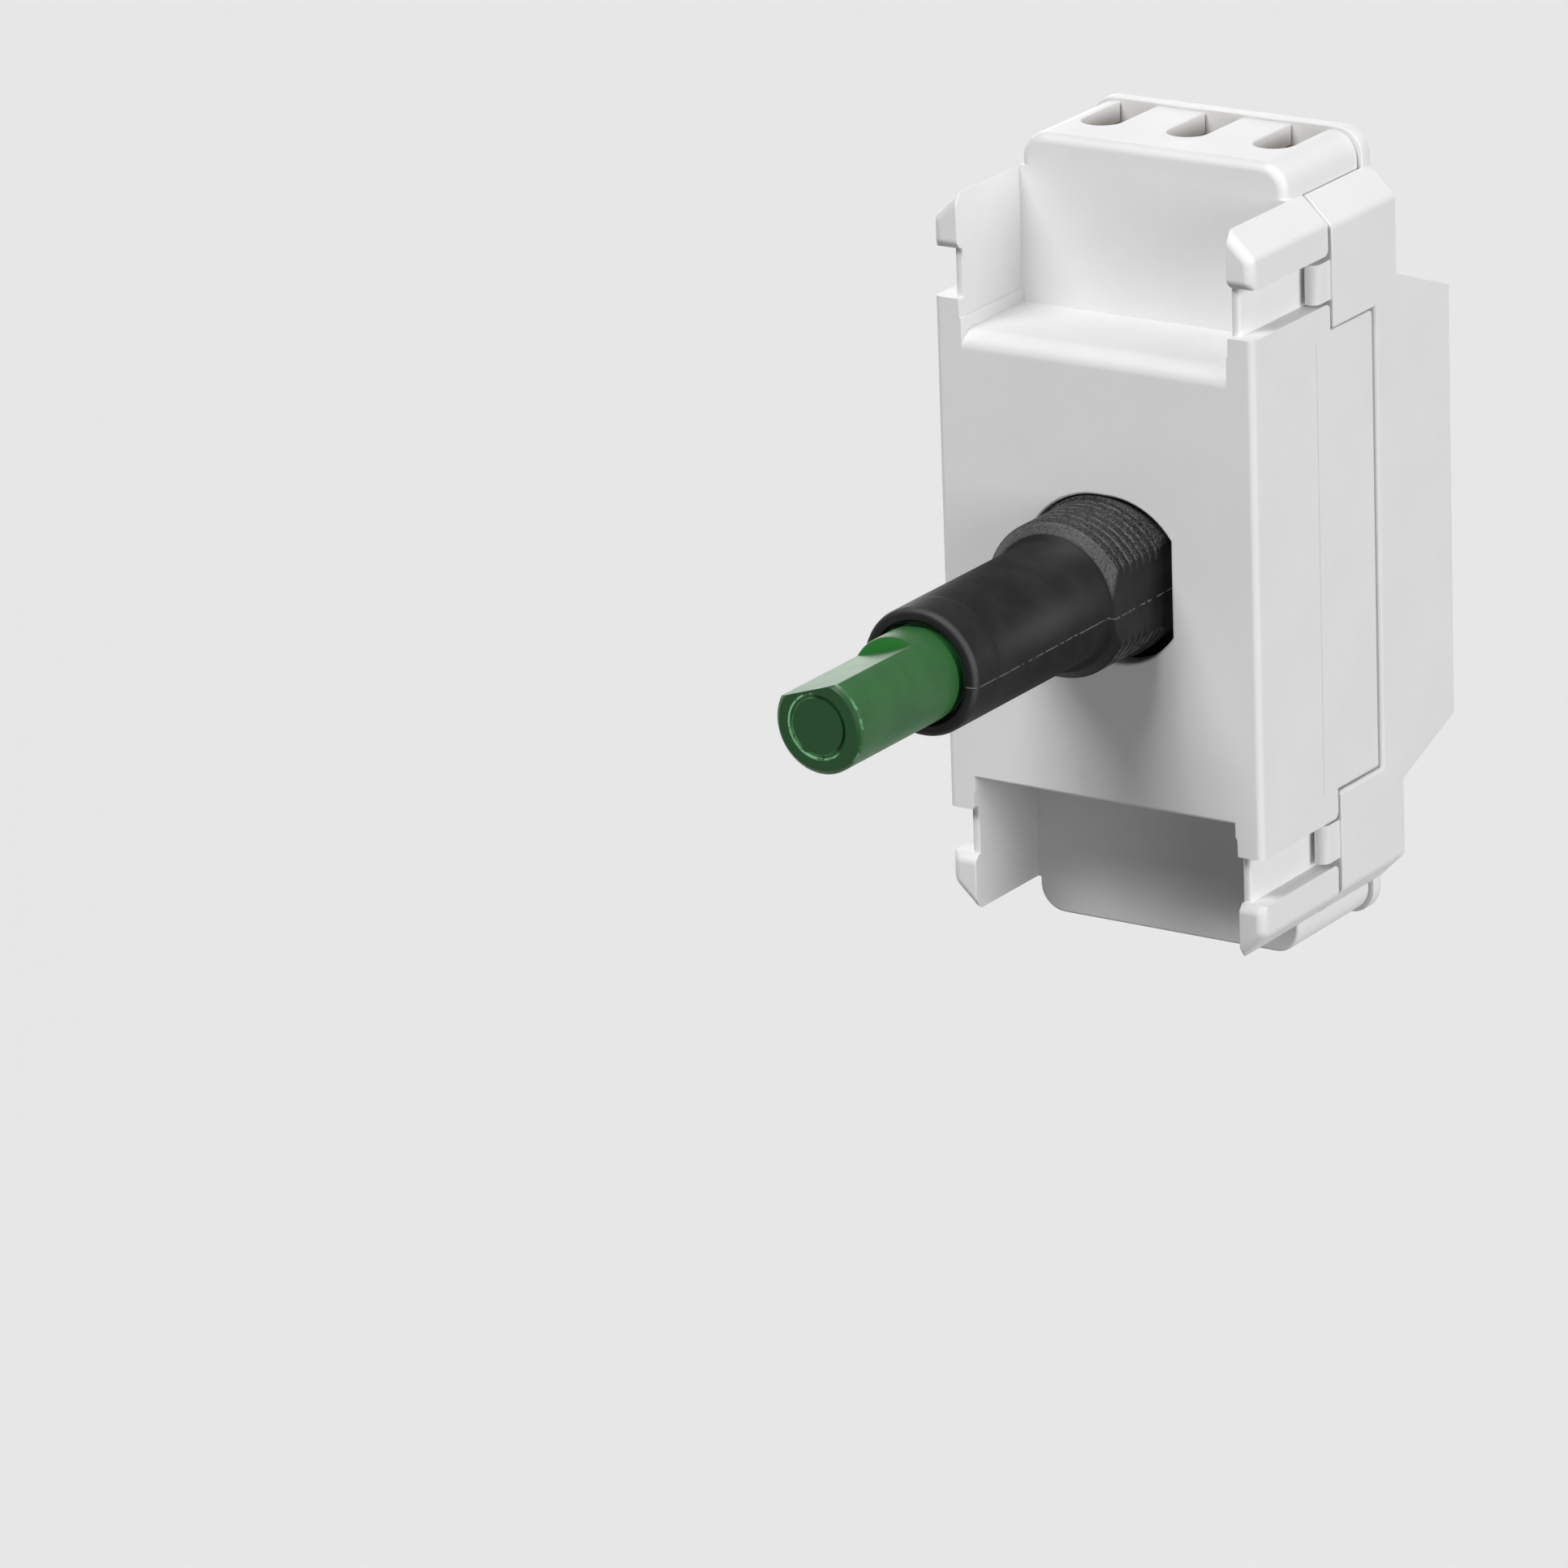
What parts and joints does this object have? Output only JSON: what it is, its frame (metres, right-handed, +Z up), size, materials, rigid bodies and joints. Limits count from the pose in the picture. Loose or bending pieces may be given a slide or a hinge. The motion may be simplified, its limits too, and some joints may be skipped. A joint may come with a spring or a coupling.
{
  "type": "dimmer switch module",
  "caption": "Rotary push dimmer module for a grid plate: white two-part casing with clip ears, black threaded bush and green D-shaped control shaft.",
  "frame": {"origin": "on the bush axis, in the plane of the casing's front face", "axes": "+X to the right seen from the front, +Y into the wall away from the knob, +Z up towards the cable slots"},
  "size_m": [0.0228, 0.0552, 0.0508],
  "materials": {
    "casing_white": "satin moulded",
    "bush_black": "satin moulded",
    "shaft_green": "moulded",
    "spring_steel": "drawn",
    "moulded_black": "moulded",
    "moulded_natural": "moulded",
    "contact_brass": "stamped",
    "track_brown": "printed",
    "tinned_metal": "tinned",
    "board_green": "solder mask",
    "capacitor_yellow": "moulded",
    "capacitor_sleeve": "sleeve",
    "ferrite_grey": "sintered",
    "winding_copper": "enamelled",
    "device_black": "moulded",
    "pad_grey": "soft",
    "sink_aluminium": "sheet",
    "fuse_beige": "coated",
    "terminal_brass": "stamped",
    "screw_steel": "plated"
  },
  "bodies": {
    "root": {"front_casing": "casing_white", "rear_casing": "casing_white", "threaded_bush": "bush_black", "pot_housing": "moulded_black", "resistive_element": "track_brown", "pot_terminals": "tinned_metal", "switch_housing": "moulded_black", "fixed_contacts": "contact_brass", "return_spring": "spring_steel", "circuit_board": "board_green", "film_capacitor": "capacitor_yellow", "electrolytic_capacitor": "capacitor_sleeve", "choke_core": "ferrite_grey", "choke_winding": "winding_copper", "power_transistor_left": "device_black", "power_transistor_right": "device_black", "insulating_pad": "pad_grey", "heat_sink": "sink_aluminium", "controller_chip": "device_black", "thermal_fuse": "fuse_beige", "terminal_plate_left": "terminal_brass", "terminal_plate_middle": "terminal_brass", "terminal_plate_right": "terminal_brass"},
    "rotor": {"wiper_rotor": "moulded_natural", "wiper_contact": "contact_brass"},
    "shaft": {"control_shaft": "shaft_green", "retaining_clip": "spring_steel"},
    "plunger": {"switch_plunger": "moulded_natural", "moving_contact": "contact_brass"},
    "clamp_screw_left": {"terminal_screw_left": "screw_steel"},
    "clamp_cage_left": {"terminal_cage_left": "terminal_brass"},
    "clamp_screw_middle": {"terminal_screw_middle": "screw_steel"},
    "clamp_cage_middle": {"terminal_cage_middle": "terminal_brass"},
    "clamp_screw_right": {"terminal_screw_right": "screw_steel"},
    "clamp_cage_right": {"terminal_cage_right": "terminal_brass"}
  },
  "joints": [
    {"name": "shaft_turn", "type": "hinge", "parent": "root", "child": "rotor", "pos_m": [0, 0, 0], "axis": [0, -1, 0], "range_deg": [-135, 135]},
    {"name": "shaft_push", "type": "slide", "parent": "rotor", "child": "shaft", "axis": [0, 1, 0], "range_m": [0, 0.0018], "stiffness_N_per_m": 200, "springref_m": -0.003, "deforming": ["return_spring"]},
    {"name": "plunger_slide", "type": "slide", "parent": "root", "child": "plunger", "axis": [0, 1, 0], "range_m": [0, 0.0018]},
    {"name": "clamp_slide_left", "type": "slide", "parent": "root", "child": "clamp_cage_left", "axis": [0, 1, 0], "range_m": [0, 0.0011]},
    {"name": "clamp_turn_left", "type": "hinge", "parent": "root", "child": "clamp_screw_left", "pos_m": [-0.0061, 0.015, 0.0198], "axis": [0, -1, 0], "range_deg": [0, 792.1]},
    {"name": "clamp_slide_middle", "type": "slide", "parent": "root", "child": "clamp_cage_middle", "axis": [0, 1, 0], "range_m": [0, 0.0011]},
    {"name": "clamp_turn_middle", "type": "hinge", "parent": "root", "child": "clamp_screw_middle", "pos_m": [0, 0.015, 0.0198], "axis": [0, -1, 0], "range_deg": [0, 792.1]},
    {"name": "clamp_slide_right", "type": "slide", "parent": "root", "child": "clamp_cage_right", "axis": [0, 1, 0], "range_m": [0, 0.0011]},
    {"name": "clamp_turn_right", "type": "hinge", "parent": "root", "child": "clamp_screw_right", "pos_m": [0.0061, 0.015, 0.0198], "axis": [0, -1, 0], "range_deg": [0, 792.1]}
  ],
  "couplings": [
    {"joint": "plunger_slide", "follows": "shaft_push", "ratio": 1},
    {"joint": "clamp_turn_left", "follows": "clamp_slide_left", "rad_per_m": 12566},
    {"joint": "clamp_turn_middle", "follows": "clamp_slide_middle", "rad_per_m": 12566},
    {"joint": "clamp_turn_right", "follows": "clamp_slide_right", "rad_per_m": 12566}
  ]
}
